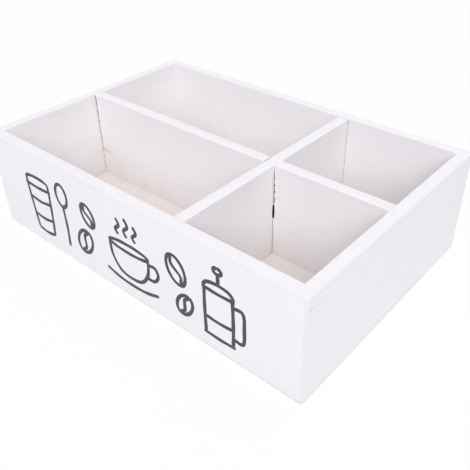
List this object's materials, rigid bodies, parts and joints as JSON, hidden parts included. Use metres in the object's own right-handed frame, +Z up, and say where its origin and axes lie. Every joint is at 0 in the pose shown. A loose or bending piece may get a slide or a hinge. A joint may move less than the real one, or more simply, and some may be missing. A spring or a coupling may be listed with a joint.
{
  "type": "coffee station organizer",
  "caption": "Open-topped wooden tray with mitred walls, a grooved-in floor and crossing dividers that make long and square bays.",
  "frame": {"origin": "centre of the tray's underside, on the surface that it stands on", "axes": "+X along the long side towards the square bays, +Y from the front wall to the back wall, +Z up"},
  "size_m": [0.305, 0.203, 0.083],
  "materials": {
    "whitewash": "brushed satin white paint over light wood, thin in the corners and on the arrises",
    "floor_wood": "thin washed light wood, matt",
    "brad_steel": "bright steel wire",
    "painted_filler": "fine wood filler, sanded flush and painted over",
    "motif_paint": "matt charcoal paint brushed on the front wall, a film with no node of its own"
  },
  "bodies": {
    "root": {"front_panel": "whitewash", "back_panel": "whitewash", "left_end_panel": "whitewash", "right_end_panel": "whitewash", "floor_panel": "floor_wood", "long_divider": "whitewash", "cross_divider": "whitewash", "corner_brads": "brad_steel", "divider_brads": "brad_steel", "brad_filler": "painted_filler"}
  },
  "joints": []
}
